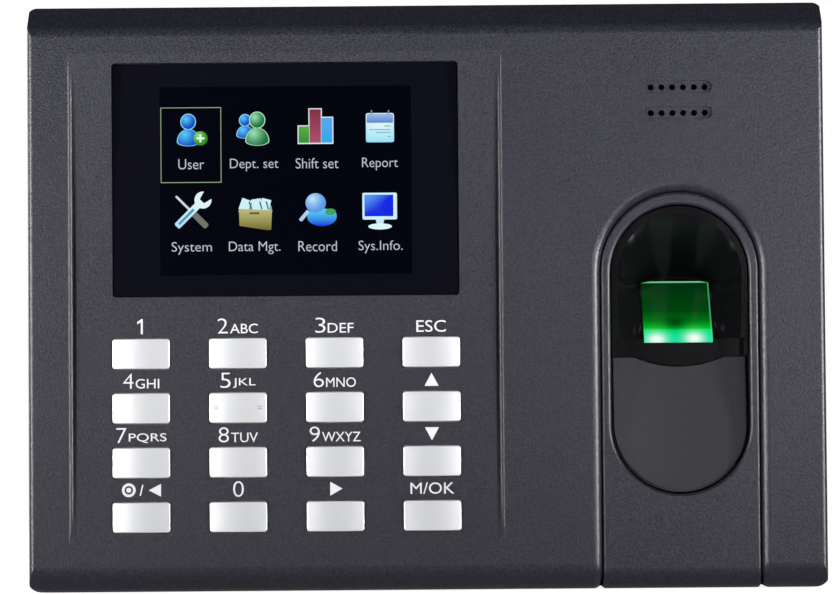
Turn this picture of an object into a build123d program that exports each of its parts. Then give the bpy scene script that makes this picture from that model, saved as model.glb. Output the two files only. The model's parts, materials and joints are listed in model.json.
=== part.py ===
from build123d import *
import math
import os

os.makedirs("parts", exist_ok=True)

# A wall-mounted fingerprint terminal. X runs to the right as the user sees it, Z is up, and the wall is
# the plane Y = 0. A "stand" is a distance from the wall towards the user, so its Y is minus the stand.

# Case
case_width = 182.0
case_top = 67.8
case_bottom = -66.7
case_height = case_top - case_bottom
case_depth = 38.0
case_back = 0.6                    # stand of the rim's back edge
parting = 13.0                     # stand where the front cover starts
parting_gap = 0.4
lip_height = 2.0                   # the rear cover's lip stands this far into the front cover
side_draft = 0.35                  # how much each side widens towards the parting line
edge_radius = 1.2                  # side edges of the front
back_chamfer = 1.6
top_slope_height = 6.0             # the top edge leans back over this height and depth
top_slope_depth = 8.0
top_crease_radius = 3.0
top_back_radius = 2.0
bottom_radius = 5.8
top_corner_radius = 2.0
bottom_corner_radius = 3.0
wall = 2.2
front_wall = 4.2
inner_front = case_depth - front_wall

# Dished centre panel
dish_x = -32.1
dish_width = 99.2
dish_half_height = 56.2
dish_z = 0.3
dish_depth = 1.5
dish_step_width = 0.3              # two small slopes with a ledge between them edge the dish
dish_step_depth = 0.25
dish_ledge = 0.25
dish_wall_width = 1.0
groove_width = 0.7                # a fine groove runs down inside each side of the dish
groove_depth = 2.6
dish_radius = (dish_half_height**2 + dish_depth**2) / (2 * dish_depth)

# Display
lens_z = 27.4
lens_width = 79.0
lens_height = 53.3
lens_thickness = 1.2
lens_top = case_depth - 1.7
lens_gap = 0.15
lens_corner = 0.8
view_width = 60.0
view_height = 45.6
display_width = 71.0
display_height = 52.0
display_back = 29.0
display_front = inner_front - 0.2
sheet_metal = 0.5

# Keypad board and mat
pad_width = 86.0
pad_height = 47.0
pad_corner = 2.0
board_thickness = 1.6
keypad_board_back = 26.9
mat_back = keypad_board_back + board_thickness + 0.1
mat_thickness = 1.0
mat_top = mat_back + mat_thickness

# Keys: four columns and four rows
key_pitch_x = 22.1
key_pitch_z = 12.43
keys_x = dish_x - 1.5 * key_pitch_x - 0.05
keys_z = -12.3
key_names = [
    ["key_1", "key_2", "key_3", "key_escape"],
    ["key_4", "key_5", "key_6", "key_up"],
    ["key_7", "key_8", "key_9", "key_down"],
    ["key_left", "key_0", "key_right", "key_ok"],
]
key_width = 13.1
key_height = 6.9
key_corner = 0.6
key_gap = 0.2
key_proud = 0.8
key_crown_radius = 61.0
key_edge = 0.25
key_flange = 1.0                   # how far the flange stands out round the cap
key_flange_thickness = 1.2
key_flange_corner = 1.2
key_stem_radius = 2.0
key_travel = 1.0
key_stop = 0.5                     # left under a stem at the end of its travel
flange_top = inner_front - 0.2
flange_back = flange_top - key_flange_thickness
stem_end = mat_top + key_travel + key_stop
pad_z = keys_z - 1.5 * key_pitch_z
collar_outer = 4.5
collar_inner = 3.0
collar_top = stem_end - 0.1

# Finger unit
finger_x = 57.85
arch_half_width = 18.05            # the insert
arch_z = 5.8                       # centre of its round top
arch_gap = 0.12
arch_lip_radius = 2.0              # rounded edge of the cover round the insert
insert_front = case_depth - 1.0
insert_back = 31.8
insert_bottom_radius = 4.8
insert_bottom_depth = 18.0
insert_flange = 2.0
hole_half_width = 15.9
hole_top_z = 5.1                   # centres of the stadium's two round ends
hole_bottom_z = -29.2
insert_edge = 0.7
rest_half_width = 15.1
rest_bottom_z = -44.2
rest_top_z = -13.9
rest_low = insert_front - 0.6      # stand of its surface at the bottom and at the top
rest_high = 32.2
rest_hollow = 0.6
rest_thickness = 2.6
rest_skirt_width = 0.5             # the skirt round its foot, and how deep under the surface it lies
rest_skirt_depth = 1.2
notch_depth = 2.2
notch_chord = 20.5
notch_radius = (notch_chord**2 / 4 + notch_depth**2) / (2 * notch_depth)
thumb_z = rest_top_z - notch_depth + notch_radius

# Glass window, tilted so that its top edge lies deeper than its bottom edge
glass_tilt = 42.0
glass_z = -3.0
glass_stand = 26.5
glass_width = 15.6
glass_length = 18.8
prism_depth = 9.0
prism_flat = 1.0
prism_gap = 0.15

# Hood: the black pocket round the glass, with room behind for the optics
hood_half_width = hole_half_width - 0.4
hood_front = insert_front - 0.9
hood_back = 12.0
hood_bottom = rest_top_z + 0.3
hood_sill = 29.2                   # stand of its floor, under the finger rest
pocket_half_width = hood_half_width - 0.9
pocket_bottom = -19.0
lip_front = 32.4
lip_gap = 0.35
flange_half_width = 19.0
optics_z = -3.2
optics_width = 18.4
lamp_reach = 4.5
lamp_slot_width = 16.6

# Optics behind the glass
barrel_radius = 5.0
barrel_bore = 3.0
barrel_back = 13.2
barrel_front = 18.6
camera_board_back = 10.4
camera_board_front = 11.6
camera_chip = 9.0
ribbon_thickness = 0.3

# Main board and what stands on it
main_back = 19.5
main_front = main_back + board_thickness
main_left = -81.6
main_right = 35.0
main_low = -53.0
main_high = 54.0

# Rear cover, wiring bay and wall plate
panel_back = 4.0
panel_front = 6.2
recess_half_width = 77.0
recess_low = -60.0
recess_high = 56.5
bay_left = -48.0
bay_right = 18.0
bay_low = -50.0
bay_high = -8.0
bay_floor = 15.0
bay_wall = 2.0
bay_x = (bay_left + bay_right) / 2
bay_z = (bay_low + bay_high) / 2
bay_width = bay_right - bay_left
bay_height = bay_high - bay_low
rear_top = parting - parting_gap
recess_height = recess_high - recess_low
recess_z = (recess_high + recess_low) / 2
plate_thickness = 1.2
plate_half_width = 75.0
plate_low = -50.0
plate_high = 54.0
mount_spacing_x = 100.0
mount_spacing_z = 80.0
mount_radius = 2.5
window_left = -44.0
window_right = 14.0
window_low = -46.0
window_high = -12.0
hook_spots = [(-68, 30), (68, 30), (-68, -30), (68, -30)]
hook_width = 10.0
hook_lip = 6.5
hook_gap = 0.3
lift_travel = 8.0
hook_slot_height = lift_travel + 1.5 * plate_thickness + hook_gap
tab_half_width = 11.0
tab_notch_width = 2 * tab_half_width + 3
tab_notch_height = 8.0
tab_top = -62.4
tab_gap = 0.4
tab_depth = 11.0
lock_stand = 7.0
lock_boss = 10.0

# Openings in the front cover
key_window_width = key_width + 2 * key_gap
key_window_height = key_height + 2 * key_gap
lens_hole_width = lens_width + 2 * lens_gap
lens_hole_height = lens_height + 2 * lens_gap
lens_seat = lens_top - lens_thickness
arch_hole = arch_half_width + arch_gap
speaker_z = 44.85
slot_pitch = 5.9
slot_width = 15.6
slot_height = 2.85
slot_depth = 1.1
sound_hole_radius = 0.7
sound_hole_pitch = 2.47
usb_z = 20.0
usb_stand = 25.0
usb_height = 14.4
usb_depth = 7.0
usb_length = 14.5

# Screws
screw_radius = 1.5
screw_head_radius = 2.8
screw_head_height = 1.8
screw_hole_radius = 1.7
recess_length = 3.2                # cross recess in a screw's head
recess_width = 0.8
recess_depth = 1.0
case_boss_back = 3.4
case_screw_spots = [(-83, 58), (83, 58), (-83, -57), (83, -57)]
board_screw_spots = [(-78.6, 50), (31, 50), (-78.6, -50), (31, -50)]
boss_radius = 3.8
board_boss_radius = 3.2

# Sockets whose mouths open down into the bay: x, width and height
socket_back = 7.0
mouth_stand = socket_back + 4.1
terminal_socket = (-30.0, 28.0, 12.0)
power_socket = (-7.5, 9.0, 14.0)
network_plug = (8.0, 16.0, 21.0)
bay_sockets = [terminal_socket, power_socket, network_plug]
power_hole_radius = 3.15
power_pin_radius = 1.0
network_mouth_width = 11.8
network_mouth_height = 6.8
usb_shell = 0.4
usb_tongue_width = 11.1
usb_tongue_thickness = 1.9

# Parts on the main board: places as x and z
board_corner = 2.0
chips = [(-30, -22, 17, 17), (-56, -28, 12, 18), (4, -34, 10, 10)]
chip_thickness = 1.1
component_spots = [(-66, 36), (-44, -49), (-8, 46)]
capacitor_spots = [(-14, 30), (-4, 30), (6, 30)]
capacitor_radius = 4.0
capacitor_height = 11.0
relay_spot = (-40.0, 32.0)
coin_spot = (20.0, 40.0)
coin_radius = 10.0
coin_back = main_front + 0.9
coin_front = main_front + 4.1
buzzer_spot = (-66.0, 4.0)
buzzer_height = 8.5

# Speaker, behind the two slots
speaker_spot = [(finger_x, speaker_z)]
speaker_radius = 14.0
gasket_back = 32.9
magnet_radius = 8.0
magnet_back = 20.5
magnet_front = 26.2

# Buttons behind the terminal
reset_spot = (28.0, -22.0)
tamper_spot = (28.0, 15.0)
button_radius = 1.4
switch_bore = 1.7
switch_width = 7.0
button_hole_radius = 1.9


def at(stand):
    """The plane at a stand from the wall: its x is X, its y is Z, and it faces the user."""
    return Plane.XZ.offset(stand)


def block(low, high, width, height, x=0.0, z=0.0, corner=0.0):
    """A box between two stands, centred on (x, z), with its upright edges rounded if asked."""
    with BuildPart() as made:
        with BuildSketch(at(low)):
            with Locations((x, z)):
                if corner:
                    RectangleRounded(width, height, corner)
                else:
                    Rectangle(width, height)
        extrude(amount=high - low)
    return made.part


def posts(low, high, radius, spots):
    """Round posts between two stands, one on each (x, z) spot."""
    with BuildPart() as made:
        with BuildSketch(at(low)):
            with Locations(*spots):
                Circle(radius)
        extrude(amount=high - low)
    return made.part


def arch(low, high, half_width, top_z, bottom_z):
    """An arch between two stands: straight sides up to a round top centred at top_z."""
    with BuildPart() as made:
        with BuildSketch(at(low)):
            with BuildLine():
                Polyline(
                    (finger_x - half_width, top_z),
                    (finger_x - half_width, bottom_z),
                    (finger_x + half_width, bottom_z),
                    (finger_x + half_width, top_z),
                )
                ThreePointArc(
                    (finger_x + half_width, top_z),
                    (finger_x, top_z + half_width),
                    (finger_x - half_width, top_z),
                )
            make_face()
        extrude(amount=high - low)
    return made.part


def stadium(low, high, half_width, top_z, bottom_z):
    """An upright stadium between two stands, its round ends centred at top_z and bottom_z."""
    with BuildPart() as made:
        with BuildSketch(at(low)):
            with Locations((finger_x, (top_z + bottom_z) / 2)):
                SlotCenterToCenter(top_z - bottom_z, 2 * half_width, rotation=90)
        extrude(amount=high - low)
    return made.part


def case_form(side=0.0, front=0.0, low=case_back, high=case_depth):
    """The form of the case between two stands, moved inwards by a side wall and a front wall."""
    top = case_top - side
    bottom = case_bottom + side
    face = case_depth - front
    rim = max(back_chamfer - side, 0.2)
    back = case_back
    with BuildPart() as form:
        with BuildSketch(Plane.YZ):
            with BuildLine():
                Polyline(
                    (-back, bottom + rim),
                    (-back, top - rim),
                    (-back - rim, top),
                    (-face + top_slope_depth, top),
                    (-face, top - top_slope_height),
                    (-face, bottom),
                    (-back - rim, bottom),
                    (-back, bottom + rim),
                )
            make_face()
            front_points = vertices().sort_by(Axis.X)
            fillet(front_points[:2].sort_by(Axis.Y)[0], bottom_radius - side)
            crease = vertices().sort_by(Axis.X).filter_by_position(Axis.Y, 0, top, (True, True))[0]
            fillet(crease, top_crease_radius)
        extrude(amount=case_width, both=True)
        with BuildSketch(Plane.XY):
            half = case_width / 2 - side
            with BuildLine():
                Polyline(
                    (-half + rim, -back),
                    (-half - side_draft, -back - rim),
                    (-half - side_draft, -parting),
                    (-half, -face),
                    (half, -face),
                    (half + side_draft, -parting),
                    (half + side_draft, -back - rim),
                    (half - rim, -back),
                    close=True,
                )
            make_face()
            fillet(vertices().sort_by(Axis.Y)[:2], max(edge_radius - side / 2, 0.1))
        extrude(amount=case_height, both=True, mode=Mode.INTERSECT)
        with BuildSketch(at(0)):
            with Locations((0, (top + bottom) / 2)):
                Rectangle(case_width + 2 * side_draft - 2 * side, top - bottom)
            fillet(vertices().sort_by(Axis.Y)[2:], top_corner_radius)
            fillet(vertices().sort_by(Axis.Y)[:2], bottom_corner_radius)
        extrude(amount=case_depth, mode=Mode.INTERSECT)
        add(block(low, high, 2 * case_width, 2 * case_height), mode=Mode.INTERSECT)
    return form.part


def screws(low, high, length, spots):
    """Screws along Y: a head between two stands with a cross recess at its back, and a shank in front."""
    with BuildPart() as made:
        add(posts(low, high, screw_head_radius, spots))
        add(posts(high, high + length, screw_radius, spots))
        with BuildSketch(at(low)):
            with Locations(*spots):
                Rectangle(recess_length, recess_width)
                Rectangle(recess_width, recess_length)
        extrude(amount=recess_depth, mode=Mode.SUBTRACT)
    return made.part


def finish(piece, name):
    """Label a finished piece and write it to its own file."""
    piece.label = name
    export_step(piece, f"parts/{name}.step")


def key_spot(row, column):
    """The centre of a key, as x and z."""
    return keys_x + column * key_pitch_x, keys_z - row * key_pitch_z


def dish_stand(z):
    """The stand of the dished panel at a height."""
    sag = dish_radius - math.sqrt(dish_radius**2 - (z - dish_z) ** 2)
    return case_depth - dish_depth + sag


def dish_cutter():
    """What the dish takes from the front: a stepped channel under a large upright arc."""
    half = dish_width / 2
    second_step = dish_step_width + dish_ledge
    side = [
        (-dish_step_width, -dish_step_depth),
        (dish_step_width, dish_step_depth),
        (second_step, dish_step_depth),
        (second_step + dish_step_width, 2 * dish_step_depth),
        (dish_wall_width, dish_depth + 0.1),
    ]
    left = [(dish_x - half + inward, -case_depth + depth) for inward, depth in side]
    right = [(dish_x + half - inward, -case_depth + depth) for inward, depth in reversed(side)]
    with BuildPart() as cutter:
        with BuildSketch(Plane.XY):
            with BuildLine():
                Polyline(*left, *right, close=True)
            make_face()
        extrude(amount=case_height / 2, both=True)
        axis_stand = case_depth - dish_depth + dish_radius
        with BuildSketch(Plane.YZ):
            with Locations((-axis_stand, dish_z)):
                Circle(dish_radius)
        extrude(amount=case_width, both=True, mode=Mode.INTERSECT)
    return cutter.part


def groove_cutter():
    """The two grooves beside the dish, each fading out where the dish does."""
    groove_radius = (dish_half_height**2 + groove_depth**2) / (2 * groove_depth)
    reach = dish_width / 2 - dish_wall_width - groove_width / 2
    with BuildPart() as cutter:
        with BuildSketch(at(inner_front)):
            with Locations((dish_x - reach, dish_z), (dish_x + reach, dish_z)):
                Rectangle(groove_width, 2 * dish_half_height)
        extrude(amount=front_wall)
        with BuildSketch(Plane.YZ):
            with Locations((-(case_depth - groove_depth + groove_radius), dish_z)):
                Circle(groove_radius)
        extrude(amount=case_width, both=True, mode=Mode.INTERSECT)
    return cutter.part


# Front cover
with BuildPart() as front_cover:
    add(case_form(low=parting))
    add(case_form(wall, front_wall, parting - 1), mode=Mode.SUBTRACT)
    add(case_form(wall / 2, front_wall, parting - 1, parting + lip_height), mode=Mode.SUBTRACT)
    add(arch(insert_bottom_depth, case_depth + 1, arch_hole, arch_z, -case_height), mode=Mode.SUBTRACT)
    hole_edges = edges().filter_by_position(Axis.X, finger_x - arch_hole - 0.01, finger_x + arch_hole + 0.01)
    outer_edges = [
        edge
        for edge in hole_edges
        if edge.center().Y < 0.01 - case_depth
        or edge.center().Z < 0.01 + case_bottom
        or (edge.geom_type == GeomType.CIRCLE and abs(edge.radius - bottom_radius) < 0.01)
    ]
    side_edges = [edge for edge in outer_edges if abs(edge.tangent_at(0.5).X) < 0.5 or edge.center().Z > 0]
    fillet(side_edges, arch_lip_radius)
    add(dish_cutter(), mode=Mode.SUBTRACT)
    add(groove_cutter(), mode=Mode.SUBTRACT)
    add(block(lens_seat, case_depth, lens_hole_width, lens_hole_height, dish_x, lens_z, lens_corner), mode=Mode.SUBTRACT)
    add(block(inner_front - 1, case_depth, view_width, view_height, dish_x, lens_z), mode=Mode.SUBTRACT)
    with BuildSketch(at(inner_front - 1)):
        for row in range(4):
            with Locations(*[key_spot(row, column) for column in range(4)]):
                RectangleRounded(key_window_width, key_window_height, key_corner + key_gap)
    extrude(amount=front_wall + 1, mode=Mode.SUBTRACT)
    for side in (-1, 1):
        slot_z = speaker_z + side * slot_pitch / 2
        with BuildSketch(at(case_depth - slot_depth)):
            with Locations((finger_x, slot_z)):
                SlotOverall(slot_width, slot_height)
        extrude(amount=2 * slot_depth, mode=Mode.SUBTRACT)
        with BuildSketch(at(inner_front - 1)):
            with Locations((finger_x, slot_z)):
                with GridLocations(sound_hole_pitch, 1, 6, 1):
                    Circle(sound_hole_radius)
        extrude(amount=front_wall + 1, mode=Mode.SUBTRACT)
    add(posts(main_front, inner_front + 1, board_boss_radius, board_screw_spots))
    add(posts(main_front - 1, main_front + 7, screw_radius, board_screw_spots), mode=Mode.SUBTRACT)
    add(posts(parting + 1, inner_front + 1, boss_radius, case_screw_spots))
    add(posts(parting, parting + 11, screw_radius, case_screw_spots), mode=Mode.SUBTRACT)
    with BuildSketch(Plane.YZ):
        with Locations((-usb_stand, usb_z)):
            Rectangle(usb_depth + 0.6, usb_height + 0.6)
    extrude(amount=-case_width, mode=Mode.SUBTRACT)
finish(front_cover.part, "front_cover")

# Rear cover: a thick back with a recess for the wall plate, a bay for the plugs and a lip at the parting line
with BuildPart() as rear_cover:
    add(case_form(high=rear_top))
    add(case_form(wall, front_wall, panel_front, rear_top), mode=Mode.SUBTRACT)
    add(case_form(wall / 2 + 0.15, front_wall, rear_top, parting + lip_height - 0.2))
    add(case_form(wall, front_wall, rear_top - 1, case_depth), mode=Mode.SUBTRACT)
    add(block(0, panel_back, 2 * recess_half_width, recess_height, 0, recess_z), mode=Mode.SUBTRACT)
    add(block(panel_back, bay_floor + bay_wall, bay_width + 2 * bay_wall, bay_height + 2 * bay_wall, bay_x, bay_z))
    add(block(0, bay_floor, bay_width, bay_height, bay_x, bay_z), mode=Mode.SUBTRACT)
    for hook_x, hook_z in hook_spots:
        slot_z = hook_z + plate_thickness / 2 - hook_slot_height / 2
        add(block(0, panel_front + 1, hook_width + 2, hook_slot_height, hook_x, slot_z), mode=Mode.SUBTRACT)
    add(posts(panel_back, rear_top + 1, boss_radius, case_screw_spots))
    add(posts(0, case_boss_back, screw_head_radius + 0.3, case_screw_spots), mode=Mode.SUBTRACT)
    add(posts(0, parting + 1, screw_hole_radius, case_screw_spots), mode=Mode.SUBTRACT)
    add(posts(0, panel_front + 1, button_hole_radius, [reset_spot, tamper_spot]), mode=Mode.SUBTRACT)
    # A notch under the case for the plate's bent tab, and a boss above it for the locking screw
    notch_top = tab_top + tab_gap
    notch_z = notch_top - tab_notch_height / 2
    add(block(0, tab_depth + tab_gap, tab_notch_width, tab_notch_height, 0, notch_z), mode=Mode.SUBTRACT)
    add(block(panel_front, rear_top, lock_boss, lock_boss, 0, notch_top + lock_boss / 2))
    with BuildSketch(Plane.XY.offset(tab_top)):
        with Locations((0, -lock_stand)):
            Circle(screw_radius + 0.1)
    extrude(amount=lock_boss - 1, mode=Mode.SUBTRACT)
    add(block(0, plate_thickness + tab_gap, tab_notch_width, tab_notch_height, 0, recess_low), mode=Mode.SUBTRACT)
    for spot_x, width, height in bay_sockets:
        add(block(socket_back - 0.2, main_back, width + 0.4, 3, spot_x, bay_high + 1.5), mode=Mode.SUBTRACT)
finish(rear_cover.part, "rear_cover")

def on_insert_hole(edge):
    """Whether an edge on the insert's front belongs to its stadium-shaped hole."""
    if edge.geom_type == GeomType.CIRCLE:
        return edge.radius < hole_half_width + 0.1
    return abs(edge.center().X - finger_x) < hole_half_width + 0.1


# Finger insert: an apron with a stadium-shaped hole that wraps under the front
with BuildPart() as finger_bezel:
    with BuildSketch(Plane.YZ.offset(finger_x)):
        bottom = case_bottom
        with BuildLine():
            Polyline(
                (-insert_front, bottom),
                (-insert_front, arch_z + arch_half_width),
                (-insert_back, arch_z + arch_half_width),
                (-insert_back, bottom + wall),
                (-insert_bottom_depth - arch_gap, bottom + wall),
                (-insert_bottom_depth - arch_gap, bottom),
                close=True,
            )
        make_face()
        fillet(vertices().sort_by_distance((-insert_front, bottom))[0], insert_bottom_radius)
        fillet(vertices().sort_by_distance((-insert_back, bottom + wall))[0], wall)
    extrude(amount=arch_half_width, both=True)
    add(arch(0, case_depth, arch_half_width, arch_z, -case_height), mode=Mode.INTERSECT)
    rim_edges = edges().filter_by_position(Axis.Y, -insert_front - 0.01, -insert_front + 0.01)
    fillet(rim_edges.filter_by(lambda edge: edge.center().Z > -40), insert_edge)
    add(arch(insert_back - insert_flange, insert_back, arch_half_width + insert_flange, arch_z, -50))
    add(stadium(0, case_depth, hole_half_width, hole_top_z, hole_bottom_z), mode=Mode.SUBTRACT)
    front_edges = edges().filter_by_position(Axis.Y, -insert_front - 0.01, -insert_front + 0.01)
    fillet(front_edges.filter_by(on_insert_hole), insert_edge)
finish(finger_bezel.part, "finger_bezel")

# Finger rest: a slightly hollow tongue that slopes in towards the glass
rest_rise = rest_top_z - rest_bottom_z
rest_slope = math.degrees(math.atan2(rest_low - rest_high, rest_rise))
rest_hollow_radius = rest_half_width**2 / (2 * rest_hollow)
rest_plane = Plane(
    origin=(finger_x, -rest_high, rest_top_z),
    x_dir=(1, 0, 0),
    z_dir=(0, math.sin(math.radians(rest_slope)), math.cos(math.radians(rest_slope))),
)


def rest_layer(half_width, depth):
    """A layer of the finger rest, from a depth under its surface to its back."""
    with BuildPart() as layer:
        add(stadium(insert_back - 6, insert_front, half_width, 20, rest_bottom_z + rest_half_width))
        with BuildSketch(rest_plane):
            with Locations((0, (depth + rest_thickness) / 2)):
                Rectangle(2 * half_width, rest_thickness - depth)
            with Locations((0, rest_hollow - rest_hollow_radius)):
                Circle(rest_hollow_radius, mode=Mode.SUBTRACT)
        extrude(amount=2 * rest_rise, both=True, mode=Mode.INTERSECT)
    return layer.part


with BuildPart() as finger_rest:
    add(rest_layer(rest_half_width, 0))
    add(rest_layer(rest_half_width + rest_skirt_width, rest_skirt_depth))
    add(block(0, case_depth, 60, 60, finger_x, rest_top_z + 30), mode=Mode.SUBTRACT)
    add(posts(0, case_depth, notch_radius, [(finger_x, thumb_z)]), mode=Mode.SUBTRACT)
finish(finger_rest.part, "finger_rest")

# Glass prism: a triangular block whose widest face is the window
glass_plane = Plane(
    origin=(finger_x, -glass_stand, glass_z),
    x_dir=(1, 0, 0),
    z_dir=(0, -math.cos(math.radians(glass_tilt)), math.sin(math.radians(glass_tilt))),
)
prism_section = Plane(origin=glass_plane.origin, x_dir=glass_plane.y_dir, z_dir=(1, 0, 0))
prism_half = glass_length / 2


def prism_block(half_width, gap):
    """The prism's body, grown by a gap behind its window."""
    with BuildPart() as made:
        with BuildSketch(prism_section):
            with BuildLine():
                Polyline(
                    (-prism_half - gap, 0),
                    (prism_half + gap, 0),
                    (prism_half + gap, -prism_flat),
                    (prism_flat + gap, -prism_depth - gap),
                    (-prism_flat - gap, -prism_depth - gap),
                    (-prism_half - gap, -prism_flat),
                    close=True,
                )
            make_face()
        extrude(amount=half_width, both=True)
    return made.part


with BuildPart() as sensor_prism:
    add(prism_block(glass_width / 2, 0))
finish(sensor_prism.part, "sensor_prism")

# Hood
with BuildPart() as pocket_cut:
    with BuildSketch(at(hood_front + 1)):
        with BuildLine():
            Polyline(
                (finger_x - pocket_half_width, hole_top_z),
                (finger_x - pocket_half_width, pocket_bottom),
                (finger_x + pocket_half_width, pocket_bottom),
                (finger_x + pocket_half_width, hole_top_z),
            )
            ThreePointArc(
                (finger_x + pocket_half_width, hole_top_z),
                (finger_x, hole_top_z + pocket_half_width),
                (finger_x - pocket_half_width, hole_top_z),
            )
        make_face()
    with BuildSketch(glass_plane):
        half = glass_width / 2 + 0.6
        with BuildLine():
            Polyline(
                (-half, prism_half - 0.6),
                (-half, -prism_half - 0.2),
                (half, -prism_half - 0.2),
                (half, prism_half - 0.6),
            )
            ThreePointArc((half, prism_half - 0.6), (0, prism_half + 0.5), (-half, prism_half - 0.6))
        make_face()
    loft(ruled=True)

with BuildPart() as sensor_hood:
    add(arch(hood_back, hood_front, hood_half_width, hole_top_z, hood_bottom))
    flange_front = insert_back - insert_flange - 0.2
    add(arch(flange_front - insert_flange, flange_front, flange_half_width, hole_top_z, hood_bottom))
    add(block(hood_back, hood_sill, 2 * hood_half_width, 4, finger_x, hood_bottom - 1.5))
    add(posts(hood_sill - 0.2, lip_front - 0.2, notch_radius - lip_gap, [(finger_x, thumb_z)])
        & block(0, case_depth, notch_chord, 8, finger_x, hood_bottom - 3.9))
    add(block(lip_front, case_depth, 2 * pocket_half_width, 14, finger_x, hood_bottom - 3), mode=Mode.SUBTRACT)
    add(pocket_cut.part, mode=Mode.SUBTRACT)
    add(prism_block(glass_width / 2 + prism_gap, prism_gap), mode=Mode.SUBTRACT)
    add(block(0, 19.8, optics_width, 20, finger_x, optics_z - 1), mode=Mode.SUBTRACT)
    add(block(0, 30.2, lamp_slot_width, 3.6, finger_x, -13), mode=Mode.SUBTRACT)
finish(sensor_hood.part, "sensor_hood")

with BuildPart() as sensor_led_board:
    add(block(19, 29.8, 16, 1.2, finger_x, -14))
    for lamp_side in (-1, 1):
        add(block(25.5, 28.5, 3.2, 1.2, finger_x + lamp_side * lamp_reach, -12.8))
finish(sensor_led_board.part, "sensor_led_board")

with BuildPart() as sensor_lens_barrel:
    add(posts(barrel_back, barrel_front, barrel_radius, [(finger_x, optics_z)]))
    add(posts(barrel_front - 0.6, barrel_front, barrel_bore, [(finger_x, optics_z)]), mode=Mode.SUBTRACT)
    fillet(edges().filter_by(GeomType.CIRCLE).sort_by(Axis.Y)[:2], 0.25)
finish(sensor_lens_barrel.part, "sensor_lens_barrel")

with BuildPart() as sensor_camera_board:
    add(block(camera_board_back, camera_board_front, 26, 24, finger_x, optics_z, 1.5))
    add(block(camera_board_front, barrel_back - 0.1, camera_chip, camera_chip, finger_x, optics_z))
finish(sensor_camera_board.part, "sensor_camera_board")

with BuildPart() as sensor_cable:
    with BuildSketch(Plane.XY.offset(optics_z)):
        with BuildLine():
            FilletPolyline((46, -10.1), (39.5, -10.1), (39.5, -19.1), (30, -19.1), radius=2)
        trace(line_width=ribbon_thickness)
    extrude(amount=8)
finish(sensor_cable.part, "sensor_cable")

# Display
with BuildPart() as lcd_lens:
    add(block(lens_seat + 0.05, lens_top, lens_width, lens_height, dish_x, lens_z, lens_corner))
    chamfer(faces().sort_by(Axis.Y)[0].edges(), 0.2)
finish(lcd_lens.part, "lcd_lens")

with BuildPart() as lcd_frame:
    inner_width = display_width - 2 * sheet_metal
    inner_height = display_height - 2 * sheet_metal
    add(block(display_back, display_front, display_width, display_height, dish_x, lens_z, 1.0))
    add(block(0, display_front - sheet_metal, inner_width, inner_height, dish_x, lens_z, 0.5), mode=Mode.SUBTRACT)
    add(block(0, case_depth, view_width - 1, view_height - 1, dish_x, lens_z), mode=Mode.SUBTRACT)
finish(lcd_frame.part, "lcd_frame")

with BuildPart() as lcd_panel:
    panel_top = display_front - sheet_metal - 0.1
    add(block(panel_top - 1.4, panel_top, inner_width - 1, inner_height - 1, dish_x, lens_z))
finish(lcd_panel.part, "lcd_panel")

with BuildPart() as lcd_backlight:
    light_top = panel_top - 1.5
    add(block(display_back + 0.2, light_top, inner_width - 1, inner_height - 1, dish_x, lens_z))
finish(lcd_backlight.part, "lcd_backlight")

with BuildPart() as lcd_flex:
    with BuildSketch(Plane.YZ.offset(dish_x)):
        with BuildLine():
            FilletPolyline((-28.7, 14), (-28.7, 1), (-main_front - 0.3, -1.5), (-main_front - 0.3, -8), radius=1.5)
        trace(line_width=ribbon_thickness)
    extrude(amount=10, both=True)
finish(lcd_flex.part, "lcd_flex")


def make_key(x, z):
    """One key: a cap crowned from side to side, with a flange behind the cover and a stem."""
    top = dish_stand(z) + key_proud
    with BuildPart() as key:
        add(block(flange_back, top + 1, key_width, key_height, x, z, key_corner))
        with BuildSketch(Plane.XY):
            with Locations((x, key_crown_radius - top)):
                Circle(key_crown_radius)
        extrude(amount=case_height, both=True, mode=Mode.INTERSECT)
        fillet(faces().sort_by(Axis.Y)[0].edges(), key_edge)
        flange_width = key_width + 2 * key_flange
        flange_height = key_height + 2 * key_flange
        add(block(flange_back, flange_top, flange_width, flange_height, x, z, key_flange_corner))
        add(posts(stem_end, flange_top, key_stem_radius, [(x, z)]))
    return key.part


for row, names in enumerate(key_names):
    for column, name in enumerate(names):
        finish(make_key(*key_spot(row, column)), name)

# Keypad mat and board
all_keys = [key_spot(row, column) for row in range(4) for column in range(4)]

with BuildPart() as keypad_mat:
    add(block(mat_back, mat_top, pad_width, pad_height, dish_x, pad_z, pad_corner))
    add(posts(mat_top, collar_top, collar_outer, all_keys))
    add(posts(mat_top, case_depth, collar_inner, all_keys), mode=Mode.SUBTRACT)
finish(keypad_mat.part, "keypad_mat")

with BuildPart() as keypad_board:
    board_front = keypad_board_back + board_thickness
    add(block(keypad_board_back, board_front, pad_width, pad_height, dish_x, pad_z, pad_corner))
finish(keypad_board.part, "keypad_board")

# Main board
board_width = main_right - main_left
board_height = main_high - main_low
board_x = (main_left + main_right) / 2

with BuildPart() as main_board:
    add(block(main_back, main_front, board_width, board_height, board_x, 0, board_corner))
    add(posts(0, case_depth, screw_hole_radius, board_screw_spots), mode=Mode.SUBTRACT)
finish(main_board.part, "main_board")

finish(screws(main_back - screw_head_height, main_back, board_thickness + 6, board_screw_spots), "board_screws")
case_shank = parting + 10 - case_boss_back
finish(screws(case_boss_back - screw_head_height, case_boss_back, case_shank, case_screw_spots), "case_screws")

with BuildPart() as main_chips:
    for chip_x, chip_z, chip_width, chip_height in chips:
        add(block(main_front, main_front + chip_thickness, chip_width, chip_height, chip_x, chip_z, 0.4))
finish(main_chips.part, "main_chips")

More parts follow.
